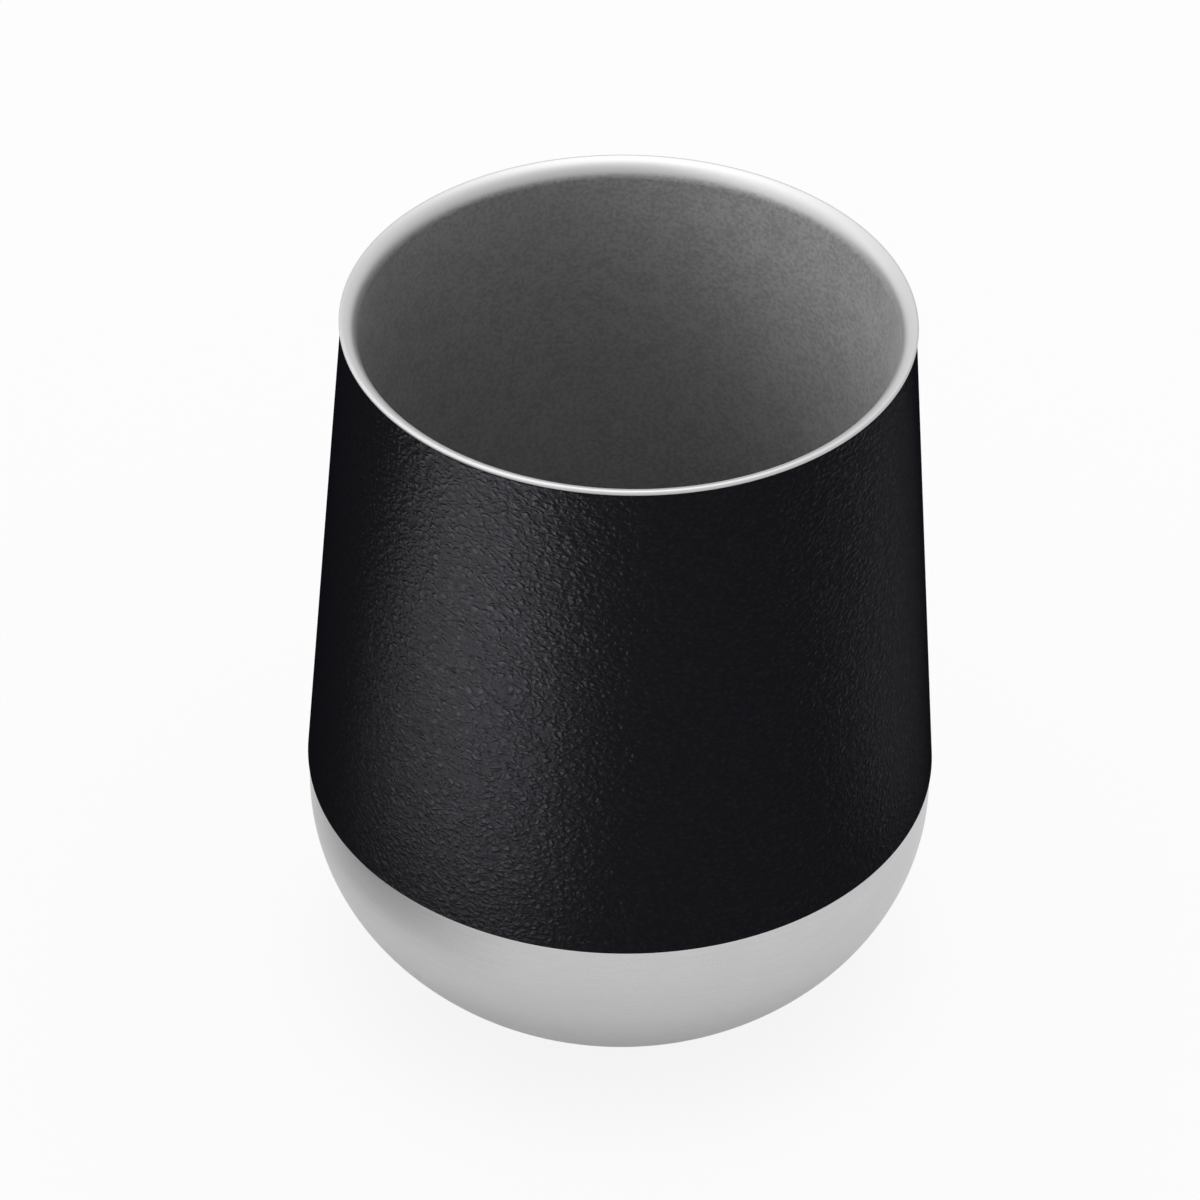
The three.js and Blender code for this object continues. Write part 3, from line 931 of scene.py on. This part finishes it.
def lay_card(stage):
    """A soft dark card on the floor beside the cup that only reflections see: painted shade, glowing dimly
    where the floor would lie in shade, that darkens the steel's reflection on that side.
    """
    near = stage.card_near - stage.card_soft / 2
    far = stage.card_far
    blur = stage.card_blur
    material, bench = new_finish("Painted Shade Card")
    x, y = bench.split(object_place(bench))[:2]
    radius = from_axis(x, y)
    turn = (y * -1).apply("ARCTAN2", x * -1)
    back = fade(bench, turn, stage.card_back - blur, stage.card_back + blur)
    front = fade(bench, turn, stage.card_front - blur, stage.card_front + blur)
    inner = fade(bench, radius, near, near + stage.card_soft)
    outer = fade(bench, radius, far / 2, far)
    shade = back * (1 - front) * inner * (1 - outer)
    clear = bench.term("ShaderNodeBsdfTransparent")
    # Painted shade: a dim glow that reflections see in place of the shaded floor
    show_mix(bench, shade, clear, white_light(bench, stage.card_level))
    card = flat_square("card", far, stage.card_lift, material)
    card.visible_camera = False
    card.visible_diffuse = False
    card.visible_shadow = False


def light_room(scene, stage):
    """Light from all round, white to the camera and in reflections."""
    world = bpy.data.worlds.new("Pale Room")
    scene.world = world
    world.use_nodes = True
    world.node_tree.nodes.clear()
    bench = Bench(world.node_tree)
    camera, metal = seen_by(bench)
    seen = camera + metal
    level = seen + (1 - seen) * stage.room_light
    room = bench.term("ShaderNodeBackground", None, {"Color": WHITE, "Strength": level})
    bench.node("ShaderNodeOutputWorld", None, {"Surface": room})


def new_lamp(name, size, watts):
    """A lamp with a flat rectangular face."""
    lamp = bpy.data.lights.new(name, "AREA")
    lamp.shape = "RECTANGLE"
    lamp.size, lamp.size_y = size
    lamp.energy = watts
    holder = bpy.data.objects.new(name, lamp)
    holder.rotation_mode = "QUATERNION"
    bpy.context.scene.collection.objects.link(holder)
    return holder


def light_only(holder, piece):
    """Lets a lamp light one piece and nothing else."""
    lit = bpy.data.collections.new(holder.name + " Lights")
    lit.objects.link(bpy.data.objects[piece])
    holder.light_linking.receiver_collection = lit


def hang_softbox(name, side, watts, place, target):
    """Hangs a square lamp that faces a target."""
    softbox = new_lamp(name, (side, side), watts)
    softbox.location = place
    softbox.rotation_quaternion = (target - Vector(place)).to_track_quat("-Z", "Y")
    return softbox


def lay_strip(strip, turn, reach, lift):
    """Lays a strip light on the floor, pointing away from the cup, that only the wrap's gloss sees."""
    strip.location = (-reach * math.cos(turn), -reach * math.sin(turn), lift)
    face_up = Quaternion((1.0, 0.0, 0.0), math.pi)
    strip.rotation_quaternion = face_up @ Quaternion((0.0, 0.0, 1.0), -turn)
    strip.visible_diffuse = False
    light_only(strip, "wrap_leather")


def set_lamps(stage):
    """The top light, the two softboxes for the cup's inside and the two strips for the wrap."""
    target = Vector(stage.camera_target)
    hang_softbox("Top Light", stage.top_side, stage.top_power, stage.top_place, target)
    left = hang_softbox("Left Softbox", stage.left_side, stage.left_power, stage.left_place, target)
    left.visible_glossy = False
    light_only(left, "cup_liner")
    mouth = hang_softbox("Mouth Softbox", stage.left_side, stage.mouth_power, stage.left_place, target)
    mouth.visible_diffuse = False
    light_only(mouth, "cup_liner")
    strip = new_lamp("Front Strip", (stage.strip_length, stage.strip_width), stage.strip_power)
    lay_strip(strip, stage.strip_turn, stage.strip_reach, stage.strip_lift)
    edge = new_lamp("Edge Strip", (stage.edge_length, stage.edge_width), stage.edge_power)
    lay_strip(edge, stage.edge_turn, stage.edge_reach, stage.strip_lift)


def set_camera(scene, stage):
    """The camera of the picture."""
    camera = bpy.data.cameras.new("Camera")
    camera.sensor_width = SENSOR_WIDTH
    camera.lens = stage.camera_lens
    holder = bpy.data.objects.new("Camera", camera)
    rise = stage.camera_elevation
    sight = Vector((0.0, math.cos(rise), -math.sin(rise)))
    holder.location = Vector(stage.camera_target) - stage.camera_distance * sight
    holder.rotation_mode = "QUATERNION"
    roll = Quaternion((0.0, 0.0, 1.0), stage.camera_roll)
    holder.rotation_quaternion = sight.to_track_quat("-Z", "Y") @ roll
    scene.collection.objects.link(holder)
    scene.camera = holder


# Operators


class TUMBLER_OT_inner_cup(bpy.types.Operator):
    """Turns the inner cup with its flared mouth and hemmed lip"""

    bl_idname = "tumbler.inner_cup"
    bl_label = "Inner Cup"

    def execute(self, context):
        scene = context.scene
        sizes = scene.tumbler_sizes
        finish = cup_steel(sizes, scene.tumbler_colours, scene.tumbler_textures)
        piece = turn_piece("cup_liner", cup_outline(sizes), sizes, finish)
        hand_over(piece, "inner_cup")
        return {"FINISHED"}


class TUMBLER_OT_outer_bowl(bpy.types.Operator):
    """Turns the oval bowl with its foot, recess and port"""

    bl_idname = "tumbler.outer_bowl"
    bl_label = "Outer Bowl"

    def execute(self, context):
        sizes = context.scene.tumbler_sizes
        colour = context.scene.tumbler_colours.satin
        textures = context.scene.tumbler_textures
        finish = satin_steel(
            "Satin Steel", colour, textures.line_pitch, textures.bowl_roughness, textures.bowl_relief
        )
        piece = turn_piece("oval_bowl", bowl_outline(sizes), sizes, finish)
        hand_over(piece, "outer_bowl")
        return {"FINISHED"}


class TUMBLER_OT_leather_wrap(bpy.types.Operator):
    """Turns the leather wrap, with its butt seam at the back"""

    bl_idname = "tumbler.leather_wrap"
    bl_label = "Leather Wrap"

    def execute(self, context):
        scene = context.scene
        sizes = scene.tumbler_sizes
        finish = pebbled_leather(sizes, scene.tumbler_colours, scene.tumbler_textures)
        outline, skin = wrap_outline(sizes)
        piece = turn_piece("wrap_leather", outline, sizes, finish, skin, sizes.seam_crowding)
        hand_over(piece, "leather_wrap")
        return {"FINISHED"}


class TUMBLER_OT_base_plate(bpy.types.Operator):
    """Turns the base plate in the foot's recess"""

    bl_idname = "tumbler.base_plate"
    bl_label = "Base Plate"

    def execute(self, context):
        sizes = context.scene.tumbler_sizes
        colour = context.scene.tumbler_colours.satin
        textures = context.scene.tumbler_textures
        finish = satin_steel(
            "Spun Steel", colour, textures.line_pitch, textures.plate_roughness, textures.plate_relief
        )
        piece = turn_piece("base_disc", plate_outline(sizes), sizes, finish)
        hand_over(piece, "base_plate")
        return {"FINISHED"}


class TUMBLER_OT_hidden_pieces(bpy.types.Operator):
    """Gives the pieces inside the walls their finishes"""

    bl_idname = "tumbler.hidden_pieces"
    bl_label = "Hidden Pieces"

    def execute(self, context):
        colours = context.scene.tumbler_colours
        textures = context.scene.tumbler_textures
        finishes = {
            "outer_body": drawn_steel("Drawn Steel", colours.drawn, textures.body_roughness),
            "wrap_adhesive": clear_film(colours.film),
            "radiation_foil": crinkled_foil(colours.foil),
            "getter_tablet": pressed_powder(colours.powder),
            "getter_clip": drawn_steel("Spring Steel", colours.drawn, textures.clip_roughness),
            "port_seal_bead": seal_glass(colours.glass),
        }
        for node, finish in finishes.items():
            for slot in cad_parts[node].material_slots:
                slot.material = finish
        return {"FINISHED"}


class TUMBLER_OT_stage(bpy.types.Operator):
    """Sets the floor, the lamps and the camera"""

    bl_idname = "tumbler.stage"
    bl_label = "Stage"

    def execute(self, context):
        scene = context.scene
        stage = scene.tumbler_stage
        scene.view_settings.view_transform = "Standard"
        lay_floor(stage, scene.tumbler_colours.floor)
        light_room(scene, stage)
        lay_card(stage)
        set_lamps(stage)
        set_camera(scene, stage)
        return {"FINISHED"}


PIECES = (
    TUMBLER_OT_inner_cup,
    TUMBLER_OT_outer_bowl,
    TUMBLER_OT_leather_wrap,
    TUMBLER_OT_base_plate,
    TUMBLER_OT_hidden_pieces,
    TUMBLER_OT_stage,
)
GROUPS = {
    "tumbler_sizes": TumblerSizes,
    "tumbler_colours": TumblerColours,
    "tumbler_textures": TumblerTextures,
    "tumbler_stage": TumblerStage,
}


class TUMBLER_PT_sidebar(bpy.types.Panel):
    """Lists the pieces of the tumbler and its stage"""

    bl_idname = "TUMBLER_PT_sidebar"
    bl_label = "Tumbler"
    bl_space_type = "VIEW_3D"
    bl_region_type = "UI"
    bl_category = "Tumbler"

    def draw(self, context):
        for piece in PIECES:
            self.layout.operator(piece.bl_idname)
        for group_name in GROUPS:
            group = getattr(context.scene, group_name)
            box = self.layout.box()
            for name in group.__annotations__:
                box.prop(group, name)


def register():
    """Makes the groups, the operators and the panel known."""
    for name, group in GROUPS.items():
        bpy.utils.register_class(group)
        setattr(bpy.types.Scene, name, PointerProperty(type=group))
    for piece in PIECES:
        bpy.utils.register_class(piece)
    bpy.utils.register_class(TUMBLER_PT_sidebar)


def unregister():
    """Undoes register."""
    bpy.utils.unregister_class(TUMBLER_PT_sidebar)
    for piece in reversed(PIECES):
        bpy.utils.unregister_class(piece)
    for name, group in GROUPS.items():
        delattr(bpy.types.Scene, name)
        bpy.utils.unregister_class(group)


def main():
    """Builds the tumbler and its stage."""
    register()
    bpy.ops.tumbler.inner_cup()
    bpy.ops.tumbler.outer_bowl()
    bpy.ops.tumbler.leather_wrap()
    bpy.ops.tumbler.base_plate()
    bpy.ops.tumbler.hidden_pieces()
    bpy.ops.tumbler.stage()


if __name__ == "__main__":
    main()
